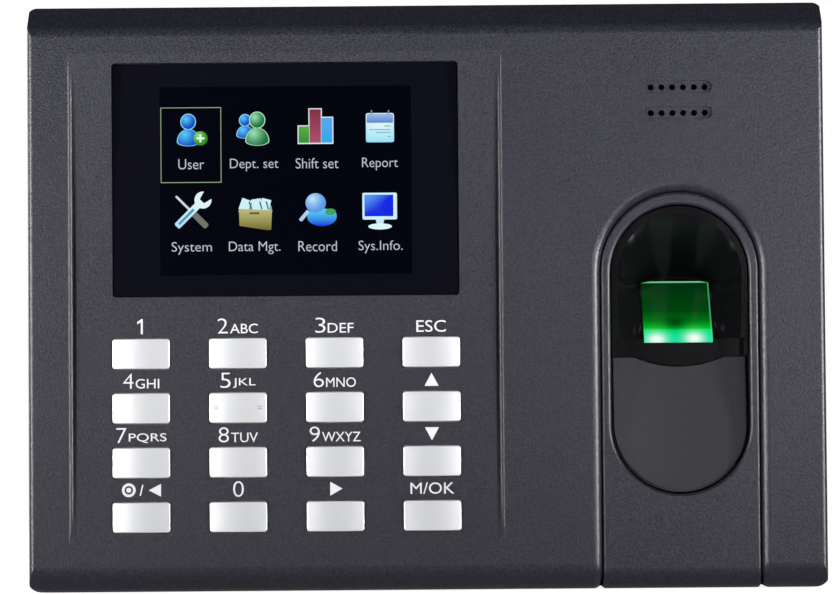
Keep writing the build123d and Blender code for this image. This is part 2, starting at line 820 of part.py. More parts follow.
with BuildPart() as small_components:
    with BuildSketch(at(main_front)):
        with Locations(*component_spots):
            with GridLocations(4.5, 3.2, 4, 3):
                Rectangle(1.6, 0.8)
    extrude(amount=0.7)
finish(small_components.part, "small_components")

with BuildPart() as capacitors:
    add(posts(main_back - capacitor_height, main_back, capacitor_radius, capacitor_spots))
    fillet(edges().filter_by(GeomType.CIRCLE).group_by(Axis.Y)[-1], 0.5)
finish(capacitors.part, "capacitors")

with BuildPart() as relay:
    add(block(main_back - 10, main_back, 19, 15.5, *relay_spot))
    fillet(edges().filter_by(Axis.Y), 0.6)
finish(relay.part, "relay")

with BuildPart() as cell_holder:
    add(posts(main_front, coin_front + 0.5, coin_radius + 1.6, [coin_spot]))
    add(posts(coin_back - 0.1, case_depth, coin_radius + 0.1, [coin_spot]), mode=Mode.SUBTRACT)
    add(block(coin_back - 0.1, case_depth, 9, 30, *coin_spot), mode=Mode.SUBTRACT)
finish(cell_holder.part, "cell_holder")

with BuildPart() as coin_cell:
    add(posts(coin_back, coin_front, coin_radius, [coin_spot]))
    fillet(edges().filter_by(GeomType.CIRCLE), 0.4)
finish(coin_cell.part, "coin_cell")

with BuildPart() as buzzer:
    add(posts(main_back - buzzer_height, main_back, 6, [buzzer_spot]))
    add(posts(0, main_back - buzzer_height + 1, 1.1, [buzzer_spot]), mode=Mode.SUBTRACT)
finish(buzzer.part, "buzzer")


def socket_body(spot):
    """The plain body of a socket whose mouth is flush with the bay's ceiling."""
    spot_x, width, height = spot
    return block(socket_back, main_back, width, height, spot_x, bay_high + height / 2)


with BuildPart() as terminal_block:
    add(socket_body(terminal_socket))
    with BuildSketch(Plane.XY.offset(bay_high)):
        with Locations((terminal_socket[0], -mouth_stand)):
            with GridLocations(3.8, 1, 7, 1):
                Rectangle(2.8, 3.4)
    extrude(amount=8, mode=Mode.SUBTRACT)
finish(terminal_block.part, "terminal_block")

with BuildPart() as power_jack:
    add(socket_body(power_socket))
    with BuildSketch(Plane.XY.offset(bay_high)):
        with Locations((power_socket[0], -mouth_stand)):
            Circle(power_hole_radius)
            Circle(power_pin_radius, mode=Mode.SUBTRACT)
    extrude(amount=10, mode=Mode.SUBTRACT)
finish(power_jack.part, "power_jack")

with BuildPart() as network_socket:
    add(socket_body(network_plug))
    with BuildSketch(Plane.XY.offset(bay_high)):
        with Locations((network_plug[0], -mouth_stand)):
            Rectangle(network_mouth_width, network_mouth_height)
    extrude(amount=14, mode=Mode.SUBTRACT)
finish(network_socket.part, "network_socket")

with BuildPart() as usb_socket:
    usb_left = -case_width / 2 + 0.8
    with BuildSketch(Plane.YZ.offset(usb_left)):
        with Locations((-usb_stand, usb_z)):
            Rectangle(usb_depth, usb_height)
    extrude(amount=usb_length)
    with BuildSketch(Plane.YZ.offset(usb_left)):
        with Locations((-usb_stand, usb_z)):
            Rectangle(usb_depth - 2 * usb_shell, usb_height - 2 * usb_shell)
        with Locations((-usb_stand + 1.1, usb_z)):
            Rectangle(usb_tongue_thickness, usb_tongue_width, mode=Mode.SUBTRACT)
    extrude(amount=usb_length - 2, mode=Mode.SUBTRACT)
finish(usb_socket.part, "usb_socket")

# Speaker
with BuildPart() as speaker_gasket:
    add(posts(gasket_back, inner_front - 0.1, speaker_radius, speaker_spot))
    add(posts(0, case_depth, speaker_radius - 2.4, speaker_spot), mode=Mode.SUBTRACT)
finish(speaker_gasket.part, "speaker_gasket")

speaker_axis = Plane(origin=(finger_x, 0, speaker_z), x_dir=(1, 0, 0), z_dir=(0, 0, 1))

with BuildPart() as speaker_frame:
    with BuildSketch(speaker_axis):
        with BuildLine():
            Polyline(
                (4, -26.2),
                (8.5, -26.2),
                (12.2, -31.9),
                (speaker_radius, -31.9),
                (speaker_radius, 0.1 - gasket_back),
                (speaker_radius - 2.4, 0.1 - gasket_back),
                (8.0, -27.1),
                (4, -27.1),
                close=True,
            )
        make_face()
    revolve(axis=Axis((finger_x, 0, speaker_z), (0, 1, 0)))
finish(speaker_frame.part, "speaker_frame")

with BuildPart() as speaker_cone:
    with BuildSketch(speaker_axis):
        with BuildLine():
            Polyline((0, -30.6), (3.5, -29.4), (11.0, -33.0), (11.3, -32.7), (3.5, -28.9), (0, -30.1), close=True)
        make_face()
    revolve(axis=Axis((finger_x, 0, speaker_z), (0, 1, 0)))
finish(speaker_cone.part, "speaker_cone")

with BuildPart() as speaker_magnet:
    add(posts(magnet_back, magnet_front, magnet_radius, speaker_spot))
    add(posts(magnet_front, magnet_front + 2.4, 3.4, speaker_spot))
    fillet(edges().filter_by(GeomType.CIRCLE).group_by(Axis.Y)[-1], 0.4)
finish(speaker_magnet.part, "speaker_magnet")


def switch_body(spot, top):
    """A small square switch on the back of the main board, bored for its button."""
    with BuildPart() as made:
        add(block(top, main_back, switch_width, switch_width, *spot, 0.5))
        add(posts(0, top + 3, switch_bore, [spot]), mode=Mode.SUBTRACT)
    return made.part


def switch_button(spot, low, high):
    """A button's round stem, rounded at its free end."""
    with BuildPart() as made:
        add(posts(low, high, button_radius, [spot]))
        fillet(edges().filter_by(GeomType.CIRCLE).group_by(Axis.Y)[-1], 0.3)
    return made.part


finish(switch_body(reset_spot, 13), "reset_switch")
finish(switch_button(reset_spot, 3.0, 15.2), "reset_button")
finish(switch_body(tamper_spot, 12), "tamper_switch")
finish(switch_button(tamper_spot, plate_thickness + 0.2, 13.8), "tamper_plunger")

# Wall plate
with BuildPart() as wall_plate:
    plate_z = (plate_low + plate_high) / 2
    add(block(0, plate_thickness, 2 * plate_half_width, plate_high - plate_low, 0, plate_z, 3))
    window_x = (window_left + window_right) / 2
    window_z = (window_low + window_high) / 2
    window_width = window_right - window_left
    add(block(-1, 3, window_width, window_high - window_low, window_x, window_z, 3), mode=Mode.SUBTRACT)
    with BuildSketch(at(-1)):
        with GridLocations(mount_spacing_x, mount_spacing_z, 2, 2):
            Circle(mount_radius)
    extrude(amount=4, mode=Mode.SUBTRACT)
    hook_reach = panel_front + 0.4 + plate_thickness
    for hook_x, hook_z in hook_spots:
        neck_z = hook_z - plate_thickness / 2
        tip_z = hook_z + hook_lip / 2 - plate_thickness / 2
        tip_height = hook_lip + plate_thickness
        add(block(0, hook_reach, hook_width, plate_thickness, hook_x, neck_z))
        add(block(hook_reach - plate_thickness, hook_reach, hook_width, tip_height, hook_x, tip_z))
        add(block(-1, plate_thickness, hook_width + 1, hook_lip, hook_x, hook_z + hook_lip / 2), mode=Mode.SUBTRACT)
    tongue_low = tab_top - plate_thickness
    tongue_height = plate_low - tongue_low + 2
    add(block(0, plate_thickness, 2 * tab_half_width, tongue_height, 0, tongue_low + tongue_height / 2))
    add(block(0, tab_depth, 2 * tab_half_width, plate_thickness, 0, tab_top - plate_thickness / 2))
    with BuildSketch(Plane.XY.offset(tongue_low - 1)):
        with Locations((0, -lock_stand)):
            Circle(screw_radius)
    extrude(amount=3, mode=Mode.SUBTRACT)
finish(wall_plate.part, "wall_plate")

with BuildPart() as lock_screw:
    with BuildSketch(Plane.XY.offset(tongue_low - screw_head_height)):
        with Locations((0, -lock_stand)):
            Circle(screw_head_radius)
    extrude(amount=screw_head_height)
    with BuildSketch(Plane.XY.offset(tongue_low - screw_head_height)):
        with Locations((0, -lock_stand)):
            Rectangle(recess_length, recess_width)
            Rectangle(recess_width, recess_length)
    extrude(amount=recess_depth, mode=Mode.SUBTRACT)
    with BuildSketch(Plane.XY.offset(tongue_low)):
        with Locations((0, -lock_stand)):
            Circle(screw_radius)
    extrude(amount=8)
finish(lock_screw.part, "lock_screw")
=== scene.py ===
import bpy
import bmesh
import json
import math
import numpy as np
from mathutils import Matrix, Vector


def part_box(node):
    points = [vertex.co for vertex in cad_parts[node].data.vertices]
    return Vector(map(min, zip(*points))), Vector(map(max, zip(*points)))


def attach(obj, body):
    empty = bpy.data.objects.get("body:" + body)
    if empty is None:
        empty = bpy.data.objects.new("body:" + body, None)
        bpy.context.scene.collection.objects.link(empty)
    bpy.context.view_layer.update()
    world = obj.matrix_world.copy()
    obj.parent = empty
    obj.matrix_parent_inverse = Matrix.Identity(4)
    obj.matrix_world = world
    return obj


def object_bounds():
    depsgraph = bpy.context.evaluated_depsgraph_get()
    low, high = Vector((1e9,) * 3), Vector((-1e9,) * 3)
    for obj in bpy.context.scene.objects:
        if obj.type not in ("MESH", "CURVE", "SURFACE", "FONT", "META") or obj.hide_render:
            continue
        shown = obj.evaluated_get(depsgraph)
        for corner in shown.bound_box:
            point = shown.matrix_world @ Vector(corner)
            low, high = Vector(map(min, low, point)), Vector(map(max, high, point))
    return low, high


# Looks for a wall-mounted fingerprint terminal. The user stands on the -Y side and Z is up.
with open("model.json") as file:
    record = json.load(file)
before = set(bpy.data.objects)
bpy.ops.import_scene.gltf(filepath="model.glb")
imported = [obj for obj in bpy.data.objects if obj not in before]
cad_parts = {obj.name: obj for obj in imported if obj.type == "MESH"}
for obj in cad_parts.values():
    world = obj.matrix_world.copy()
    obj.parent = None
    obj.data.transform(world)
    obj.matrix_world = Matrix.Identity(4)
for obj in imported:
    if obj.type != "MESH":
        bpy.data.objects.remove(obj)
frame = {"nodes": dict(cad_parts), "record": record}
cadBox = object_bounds()
nodes = frame["nodes"]
mm = 0.001


def pointsOf(mesh):
    # All vertex places of a mesh as an n by 3 array
    co = np.zeros(len(mesh.vertices) * 3, np.float32)
    mesh.vertices.foreach_get("co", co)
    return co.reshape(-1, 3).astype(float)


def addPiece(name, verts, faces, material, body, tints=None):
    # Makes a flat-shaded piece from arrays of places and faces; tints is one colour a vertex
    mesh = bpy.data.meshes.new(name)
    mesh.from_pydata(np.asarray(verts).tolist(), [], [list(map(int, f)) for f in faces])
    mesh.polygons.foreach_set("use_smooth", np.zeros(len(mesh.polygons), bool))
    if tints is not None:
        layer = mesh.color_attributes.new("tint", "FLOAT_COLOR", "POINT")
        rgba = np.column_stack([tints, np.ones(len(tints))]).astype(np.float32)
        layer.data.foreach_set("color", rgba.ravel())
    mesh.update()
    obj = bpy.data.objects.new(name, mesh)
    bpy.context.scene.collection.objects.link(obj)
    obj.data.materials.append(material)
    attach(obj, body)


def joinParts(parts):
    # Stacks (verts, faces, tints) parts into one, each part's faces counted on from the last
    verts, faces, tints, count = [], [], [], 0
    for partVerts, partFaces, partTints in parts:
        verts.append(partVerts)
        tints.append(partTints)
        faces.extend([[i + count for i in face] for face in partFaces])
        count += len(partVerts)
    return np.vstack(verts), faces, np.vstack(tints)


def newGroup(name, inputs, outputs):
    # A shader node group with named float or colour sockets
    group = bpy.data.node_groups.new(name, "ShaderNodeTree")
    for title, kind, value in inputs:
        socket = group.interface.new_socket(name=title, in_out="INPUT", socket_type=kind)
        socket.default_value = value
    for title, kind in outputs:
        group.interface.new_socket(name=title, in_out="OUTPUT", socket_type=kind)
    return group, group.nodes.new("NodeGroupInput"), group.nodes.new("NodeGroupOutput")


def mathNode(tree, operation, a, b=None, clamp=False):
    # One sum on a and b, each a number or another node's output
    node = tree.nodes.new("ShaderNodeMath")
    node.operation = operation
    node.use_clamp = clamp
    for socket, value in zip(node.inputs, (a, b)):
        if value is None:
            continue
        if isinstance(value, (int, float)):
            socket.default_value = value
        else:
            tree.links.new(value, socket)
    return node.outputs[0]


def noiseNode(tree, vector, scale, detail, roughness):
    # Fractal noise at a place, from 0 to 1
    node = tree.nodes.new("ShaderNodeTexNoise")
    tree.links.new(vector, node.inputs["Vector"])
    for title, value in (("Scale", scale), ("Detail", detail), ("Roughness", roughness)):
        if isinstance(value, (int, float)):
            node.inputs[title].default_value = value
        else:
            tree.links.new(value, node.inputs[title])
    return node.outputs["Fac"]


def mixColour(tree, blend, factor, a, b):
    # With blend MIX: a + factor x (b - a); with MULTIPLY at factor 1: a x b
    node = tree.nodes.new("ShaderNodeMix")
    node.data_type = "RGBA"
    node.blend_type = blend
    for socket, value in ((node.inputs[0], factor), (node.inputs[6], a), (node.inputs[7], b)):
        if isinstance(value, (int, float, tuple, list)):
            socket.default_value = value
        else:
            tree.links.new(value, socket)
    return node.outputs[2]


grainNoise = {"fineDetail": 3.0, "fineRoughness": 0.7, "broadScale": 45.0, "broadDetail": 3.0,
              "broadRoughness": 0.6}
scuffNoise = {"stretch": (1.0, 1.0, 0.25), "turn": (0.0, 0.6, 0.0), "detail": 6.0, "roughness": 0.75}


def buildGrainGroup():
    # Moulded grain: colour = base x (1 + fleck x (fine - 0.5) + drift x (broad - 0.5)), height = fine
    group, ins, outs = newGroup(
        "mouldedGrain",
        [("Colour", "NodeSocketColor", (0.1, 0.1, 0.1, 1)), ("Grain Size", "NodeSocketFloat", 2500.0),
         ("Fleck", "NodeSocketFloat", 0.3), ("Drift", "NodeSocketFloat", 0.2)],
        [("Colour", "NodeSocketColor"), ("Height", "NodeSocketFloat"), ("Mask", "NodeSocketFloat")],
    )
    links = group.links
    where = group.nodes.new("ShaderNodeTexCoord").outputs["Object"]
    fine = noiseNode(group, where, ins.outputs["Grain Size"], grainNoise["fineDetail"],
                     grainNoise["fineRoughness"])
    broad = noiseNode(group, where, grainNoise["broadScale"], grainNoise["broadDetail"],
                      grainNoise["broadRoughness"])
    fleck = mathNode(group, "MULTIPLY", mathNode(group, "SUBTRACT", fine, 0.5), ins.outputs["Fleck"])
    drift = mathNode(group, "MULTIPLY", mathNode(group, "SUBTRACT", broad, 0.5), ins.outputs["Drift"])
    level = mathNode(group, "ADD", mathNode(group, "ADD", fleck, drift), 1.0)
    grey = group.nodes.new("ShaderNodeCombineColor")
    for socket in grey.inputs[:3]:
        links.new(level, socket)
    grained = mixColour(group, "MULTIPLY", 1.0, ins.outputs["Colour"], grey.outputs[0])
    links.new(grained, outs.inputs["Colour"])
    links.new(fine, outs.inputs["Height"])
    links.new(broad, outs.inputs["Mask"])
    return group


def buildScuffGroup():
    # Handling marks: mask = 2 x (stretched noise - 0.5), roughness = base + amount x mask
    group, ins, outs = newGroup(
        "scuffMarks",
        [("Base Roughness", "NodeSocketFloat", 0.4), ("Amount", "NodeSocketFloat", 0.1),
         ("Scale", "NodeSocketFloat", 60.0)],
        [("Roughness", "NodeSocketFloat"), ("Mask", "NodeSocketFloat")],
    )
    where = group.nodes.new("ShaderNodeTexCoord").outputs["Object"]
    stretch = group.nodes.new("ShaderNodeMapping")
    stretch.inputs["Scale"].default_value = scuffNoise["stretch"]
    stretch.inputs["Rotation"].default_value = scuffNoise["turn"]
    group.links.new(where, stretch.inputs["Vector"])
    marks = noiseNode(group, stretch.outputs[0], ins.outputs["Scale"], scuffNoise["detail"],
                      scuffNoise["roughness"])
    mask = mathNode(group, "MULTIPLY", mathNode(group, "SUBTRACT", marks, 0.5), 2.0)
    group.links.new(mask, outs.inputs["Mask"])
    shift = mathNode(group, "MULTIPLY", mask, ins.outputs["Amount"])
    rough = mathNode(group, "ADD", ins.outputs["Base Roughness"], shift, clamp=True)
    group.links.new(rough, outs.inputs["Roughness"])
    return group


grainGroup = buildGrainGroup()
scuffGroup = buildScuffGroup()


def placeGroup(tree, group, values):
    # Puts a node group in a material and sets its named inputs
    node = tree.nodes.new("ShaderNodeGroup")
    node.node_tree = group
    for title, value in values.items():
        node.inputs[title].default_value = value
    return node


def grainedMaterial(name, look):
    # Base colour and bump come from the grain group, roughness from the scuff group
    material = bpy.data.materials.new(name)
    material.use_nodes = True
    tree = material.node_tree
    shader = tree.nodes["Principled BSDF"]
    r, g, b = look["colour"]
    grain = placeGroup(tree, grainGroup, {"Colour": (r, g, b, 1.0), "Grain Size": look["grainSize"],
                                          "Fleck": look["fleck"], "Drift": look["drift"]})
    scuff = placeGroup(tree, scuffGroup, {"Base Roughness": look["roughness"], "Amount": look["scuff"],
                                          "Scale": look.get("scuffScale", 60.0)})
    tree.links.new(grain.outputs["Colour"], shader.inputs["Base Color"])
    tree.links.new(scuff.outputs["Roughness"], shader.inputs["Roughness"])
    if look.get("bump", 0) > 0:
        bump = tree.nodes.new("ShaderNodeBump")
        bump.inputs["Strength"].default_value = look["bump"]
        bump.inputs["Distance"].default_value = look.get("bumpDepth", 0.05) * mm
        tree.links.new(grain.outputs["Height"], bump.inputs["Height"])
        tree.links.new(bump.outputs["Normal"], shader.inputs["Normal"])
    shader.inputs["Metallic"].default_value = look.get("metallic", 0.0)
    shader.inputs["Coat Weight"].default_value = look.get("coat", 0.0)
    shader.inputs["Coat Roughness"].default_value = look.get("coatRoughness", 0.1)
    shader.inputs["IOR"].default_value = look.get("ior", 1.5)
    return material


def tintMaterial(name, look):
    # A lit picture element: its colour is the mesh's own tint
    material = bpy.data.materials.new(name)
    material.use_nodes = True
    tree = material.node_tree
    shader = tree.nodes["Principled BSDF"]
    tint = tree.nodes.new("ShaderNodeAttribute")
    tint.attribute_name = "tint"
    shader.inputs["Base Color"].default_value = (0.0, 0.0, 0.0, 1.0)
    shader.inputs["Roughness"].default_value = look["roughness"]
    shader.inputs["IOR"].default_value = look["ior"]
    shader.inputs["Emission Strength"].default_value = look["strength"]
    tree.links.new(tint.outputs["Color"], shader.inputs["Emission Color"])
    return material


casePlastic = {"colour": (0.0150, 0.0150, 0.0225), "grainSize": 2100.0, "fleck": 3.6, "drift": 0.3,
               "roughness": 0.29, "scuff": 0.035, "bump": 0.8, "bumpDepth": 0.1, "ior": 1.45}
restPlastic = {"colour": (0.0165, 0.0172, 0.0215), "grainSize": 2500.0, "fleck": 1.6, "drift": 0.15,
               "roughness": 0.4, "scuff": 0.08, "bump": 0.4, "bumpDepth": 0.06}
hoodPlastic = {"colour": (0.0035, 0.0035, 0.0042), "grainSize": 900.0, "fleck": 0.2, "drift": 0.2,
               "roughness": 0.13, "scuff": 0.12, "scuffScale": 90.0}
keyPaint = {"colour": (0.625, 0.63, 0.645), "grainSize": 5200.0, "fleck": 0.05, "drift": 0.02,
            "roughness": 0.28, "scuff": 0.005, "metallic": 0.4, "bump": 0.05, "bumpDepth": 0.01}
lensGloss = {"colour": (0.0022, 0.0022, 0.0052), "grainSize": 500.0, "fleck": 0.1, "drift": 0.1,
             "roughness": 0.08, "scuff": 0.03}
boardGreen = {"colour": (0.012, 0.12, 0.045), "grainSize": 1400.0, "fleck": 0.5, "drift": 0.3,
              "roughness": 0.35, "scuff": 0.1, "coat": 0.3}
ribbonAmber = {"colour": (0.42, 0.2, 0.035), "grainSize": 1800.0, "fleck": 0.25, "drift": 0.2,
               "roughness": 0.3, "scuff": 0.1}
tinnedSteel = {"colour": (0.62, 0.62, 0.61), "grainSize": 1200.0, "fleck": 0.15, "drift": 0.12,
               "roughness": 0.3, "scuff": 0.15, "metallic": 1.0}
panelGlass = {"colour": (0.008, 0.01, 0.018), "grainSize": 900.0, "fleck": 0.1, "drift": 0.1,
              "roughness": 0.12, "scuff": 0.04}
guideWhite = {"colour": (0.8, 0.8, 0.78), "grainSize": 900.0, "fleck": 0.06, "drift": 0.05,
              "roughness": 0.4, "scuff": 0.05}
matRubber = {"colour": (0.09, 0.09, 0.09), "grainSize": 2200.0, "fleck": 0.35, "drift": 0.2,
             "roughness": 0.8, "scuff": 0.08, "bump": 0.25}
screwZinc = {"colour": (0.56, 0.55, 0.53), "grainSize": 2600.0, "fleck": 0.25, "drift": 0.2,
             "roughness": 0.32, "scuff": 0.2, "metallic": 1.0}
chipBlack = {"colour": (0.013, 0.013, 0.014), "grainSize": 3600.0, "fleck": 0.5, "drift": 0.2,
             "roughness": 0.55, "scuff": 0.08, "bump": 0.25}
canAluminium = {"colour": (0.63, 0.63, 0.65), "grainSize": 1600.0, "fleck": 0.15, "drift": 0.12,
                "roughness": 0.28, "scuff": 0.14, "metallic": 1.0}
blockGreen = {"colour": (0.02, 0.2, 0.06), "grainSize": 1800.0, "fleck": 0.25, "drift": 0.15,
              "roughness": 0.45, "scuff": 0.08, "bump": 0.15}
conePaper = {"colour": (0.022, 0.022, 0.022), "grainSize": 1500.0, "fleck": 0.8, "drift": 0.3,
             "roughness": 0.85, "scuff": 0.05, "bump": 0.5}
magnetGrey = {"colour": (0.24, 0.24, 0.25), "grainSize": 1900.0, "fleck": 0.3, "drift": 0.2,
              "roughness": 0.4, "scuff": 0.15, "metallic": 0.9}
plateZinc = {"colour": (0.5, 0.5, 0.51), "grainSize": 700.0, "fleck": 0.35, "drift": 0.4,
             "roughness": 0.38, "scuff": 0.2, "metallic": 0.9, "scuffScale": 120.0}
legendInk = {"colour": (0.6, 0.6, 0.61), "grainSize": 4000.0, "fleck": 0.08, "drift": 0.04,
             "roughness": 0.5, "scuff": 0.05}
markInk = {"colour": (0.30, 0.30, 0.31), "grainSize": 4000.0, "fleck": 0.08, "drift": 0.04,
           "roughness": 0.5, "scuff": 0.05}
screenLight = {"strength": 1.0, "roughness": 0.2, "ior": 1.15}

looksBySlot = {
    "case_plastic": casePlastic, "black_plastic": hoodPlastic, "key_plastic": keyPaint,
    "display_lens": lensGloss, "circuit_board": boardGreen, "ribbon": ribbonAmber,
    "sheet_steel": tinnedSteel, "display_panel": panelGlass, "light_guide": guideWhite,
    "rubber": matRubber, "screw_steel": screwZinc, "chip_plastic": chipBlack,
    "capacitor_can": canAluminium, "terminal_plastic": blockGreen, "speaker_paper": conePaper,
    "magnet": magnetGrey, "plate_steel": plateZinc,
}
finishes = {slot: grainedMaterial(slot, look) for slot, look in looksBySlot.items()}
restFinish = grainedMaterial("rest_plastic", restPlastic)
inkFinish = grainedMaterial("legend_ink", legendInk)
markFinish = grainedMaterial("mark_ink", markInk)
screenFinish = tintMaterial("screen_light", screenLight)


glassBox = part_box("sensor_prism")
# The window's glow is painted light: its ramp, lamp spots, shaded patch and bright edge stand in for the
# lamps under the prism
glassGlow = {
    "lowZ": -9.98, "highZ": 3.98, "centreX": (glassBox[0].x + glassBox[1].x) / 2 / mm, "halfWidth": 7.8,
    "stops": [(0.0, (0.0, 0.70, 0.36)), (0.17, (0.0, 0.76, 0.20)), (0.2, (0.0, 0.46, 0.012)),
              (0.33, (0.0, 0.15, 0.003)), (0.5, (0.0, 0.045, 0.001)), (0.97, (0.0, 0.022, 0.003)),
              (0.985, (0.20, 0.62, 0.30)), (1.0, (0.20, 0.62, 0.30))],
    "lamps": ((-5.1, 0.2), (3.6, 0.4)), "lampSize": (1.9, 1.3), "lampColour": (0.92, 1.0, 0.96, 1.0),
    "shade": (-0.6, 4.2, 2.7, 1.7), "shadeShare": 0.9, "shadeColour": (0.0, 0.02, 0.0, 1.0),
    "edge": 0.3, "edgeShare": 0.45, "edgeColour": (0.12, 0.75, 0.30, 1.0),
    "body": (0.0, 0.02, 0.005, 1.0), "roughness": 0.05, "ior": 1.2, "seen": 1.0, "cast": 0.12,
}


def blobNode(tree, x, z, centreX, centreZ, width, height):
    # A soft round spot: e to the minus ((x - centre) / width) squared + ((z - centre) / height) squared
    across = mathNode(tree, "DIVIDE", mathNode(tree, "SUBTRACT", x, centreX * mm), width * mm)
    up = mathNode(tree, "DIVIDE", mathNode(tree, "SUBTRACT", z, centreZ * mm), height * mm)
    acrossSquare = mathNode(tree, "MULTIPLY", across, across)
    squares = mathNode(tree, "ADD", acrossSquare, mathNode(tree, "MULTIPLY", up, up))
    return mathNode(tree, "EXPONENT", mathNode(tree, "MULTIPLY", squares, -1.0))


def glassMaterial(look):
    # Painted light, as if lit from below: a colour ramp up the window, less a painted shaded patch, plus a
    # painted spot over each lamp and a painted bright edge. What the camera sees is stronger than what falls
    # on the pocket
    material = bpy.data.materials.new("lit_glass")
    material.use_nodes = True
    tree = material.node_tree
    shader = tree.nodes["Principled BSDF"]
    split = tree.nodes.new("ShaderNodeSeparateXYZ")
    tree.links.new(tree.nodes.new("ShaderNodeTexCoord").outputs["Object"], split.inputs[0])
    x, z = split.outputs["X"], split.outputs["Z"]
    span = (look["highZ"] - look["lowZ"]) * mm
    rise = mathNode(tree, "DIVIDE", mathNode(tree, "SUBTRACT", z, look["lowZ"] * mm), span)
    ramp = tree.nodes.new("ShaderNodeValToRGB")
    tree.links.new(rise, ramp.inputs[0])
    elements = ramp.color_ramp.elements
    while len(elements) < len(look["stops"]):
        elements.new(0.5)
    for element, (place, colour) in zip(elements, look["stops"]):
        element.position = place
        element.color = (*colour, 1.0)
    shadeX, shadeZ, shadeWidth, shadeHeight = look["shade"]
    middle, foot = look["centreX"], look["lowZ"]
    shade = blobNode(tree, x, z, middle + shadeX, foot + shadeZ, shadeWidth, shadeHeight)
    shadeShare = mathNode(tree, "MULTIPLY", shade, look["shadeShare"])
    lit = mixColour(tree, "MIX", shadeShare, ramp.outputs["Color"], look["shadeColour"])
    for offset, height in look["lamps"]:
        spot = blobNode(tree, x, z, middle + offset, foot + height, *look["lampSize"])
        lit = mixColour(tree, "MIX", spot, lit, look["lampColour"])
    edgeStart = (middle + look["halfWidth"] - look["edge"]) * mm
    edge = mathNode(tree, "MULTIPLY", mathNode(tree, "GREATER_THAN", x, edgeStart), look["edgeShare"])
    lit = mixColour(tree, "MIX", edge, lit, look["edgeColour"])
    path = tree.nodes.new("ShaderNodeLightPath")
    level = mathNode(tree, "MULTIPLY", path.outputs["Is Camera Ray"], look["seen"] - look["cast"])
    tree.links.new(mathNode(tree, "ADD", level, look["cast"]), shader.inputs["Emission Strength"])
    shader.inputs["Base Color"].default_value = look["body"]
    shader.inputs["Roughness"].default_value = look["roughness"]
    shader.inputs["IOR"].default_value = look["ior"]
    tree.links.new(lit, shader.inputs["Emission Color"])
    return material


paintedGlassGlow = glassMaterial(glassGlow)
slotOfNode = {part["node"]: part["material_slot"] for part in frame["record"]["subparts"]}
for name, obj in nodes.items():
    # The prism's slot has no look of its own above, so it gets the lit glass
    material = finishes.get(slotOfNode[name], paintedGlassGlow)
    if name == "finger_rest":
        material = restFinish
    obj.data.materials.clear()
    obj.data.materials.append(material)
print("finishes on the CAD nodes:", len(nodes))


legend = {
    "digitHeight": 3.45, "letterHeight": 2.2, "digitWidth": 2.35, "gap": 0.5, "rise": 1.1,
    "thickness": 0.04, "sunk": 0.01, "thin": 0.012,
    "letterWidths": {"ABC": 6.35, "DEF": 5.9, "GHI": 5.4, "JKL": 5.2, "MNO": 6.8, "PQRS": 8.6, "TUV": 6.1,
                     "WXYZ": 8.8},
    "words": {"key_0": ("0", 2.45, 3.6, 0.0, 0.012), "key_escape": ("ESC", 6.75, 2.7, 0.0, 0.0),
              "key_ok": ("M/OK", 10.0, 2.6, 0.35, 0.0)},
    "outlines": {"key_1": [(-0.03, 0), (0.42, 0), (0.42, 3.45), (0.12, 3.45), (-0.85, 2.75), (-0.85, 2.25),
                           (-0.03, 2.72)],
                 "key_up": [(-1.6, 0.1), (1.6, 0.1), (0, 3.1)],
                 "key_down": [(-1.6, 3.1), (0, 0.1), (1.6, 3.1)],
                 "key_right": [(-1.2, 0.1), (1.6, 1.7), (-1.2, 3.3)]},
    "slash": [(-0.45, -1.25), (-0.15, -1.25), (0.45, 1.25), (0.15, 1.25)], "slashAt": (0.0, 1.65),
    "arrow": [(-1.4, 0.0), (1.4, -1.45), (1.4, 1.45)], "arrowAt": (3.05, 1.65),
    "ring": (1.57, 0.98), "dot": 0.56, "ringAt": (-2.9, 1.7),
}
legendKeys = ["key_1", "key_2", "key_3", "key_escape", "key_4", "key_5", "key_6", "key_up", "key_7", "key_8",
              "key_9", "key_down", "key_left", "key_0", "key_right", "key_ok"]
letterSets = {"key_2": "ABC", "key_3": "DEF", "key_4": "GHI", "key_5": "JKL", "key_6": "MNO", "key_7": "PQRS",
              "key_8": "TUV", "key_9": "WXYZ"}


def keyFace(name):
    # The cap's centre in x and z, and the y of its front
    low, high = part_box(name)
    return (low.x + high.x) / 2, (low.z + high.z) / 2, low.y


def textPart(words, width, height, thickness, thin=0.0):
    # Letters as a closed mesh in x and z, scaled to a box of width by height, centred on x = 0, foot on z = 0
    curve = bpy.data.curves.new(words, "FONT")
    curve.body = words
    curve.resolution_u = 4
    curve.extrude = 0.5
    curve.offset = -thin
    holder = bpy.data.objects.new(words, curve)
    mesh = bpy.data.meshes.new_from_object(holder)
    work = bmesh.new()
    work.from_mesh(mesh)
    bmesh.ops.remove_doubles(work, verts=work.verts, dist=1e-5)
    bmesh.ops.recalc_face_normals(work, faces=work.faces)
    work.to_mesh(mesh)
    work.free()
    flat = pointsOf(mesh)
    faces = [list(face.vertices) for face in mesh.polygons]
    low, high = flat.min(0), flat.max(0)
    x = (flat[:, 0] - (low[0] + high[0]) / 2) * (width / (high[0] - low[0]))
    z = (flat[:, 1] - low[1]) * height / (high[1] - low[1])
    y = np.where(flat[:, 2] > 0, -thickness, 0.0)
    bpy.data.objects.remove(holder)
    bpy.data.curves.remove(curve)
    bpy.data.meshes.remove(mesh)
    return np.column_stack([x, y, z]), faces


def prismPart(outline, thickness):
    # A closed plate from an outline in x and z, walked anticlockwise as the user sees it
    outline = np.asarray(outline, float)
    count = len(outline)
    back = np.column_stack([outline[:, 0], np.zeros(count), outline[:, 1]])
    front = back - np.array([0.0, thickness, 0.0])
    ring = np.arange(count)
    after = (ring + 1) % count
    sides = np.column_stack([ring, after, after + count, ring + count]).tolist()
    return np.vstack([back, front]), [ring[::-1].tolist(), (ring + count).tolist()] + sides


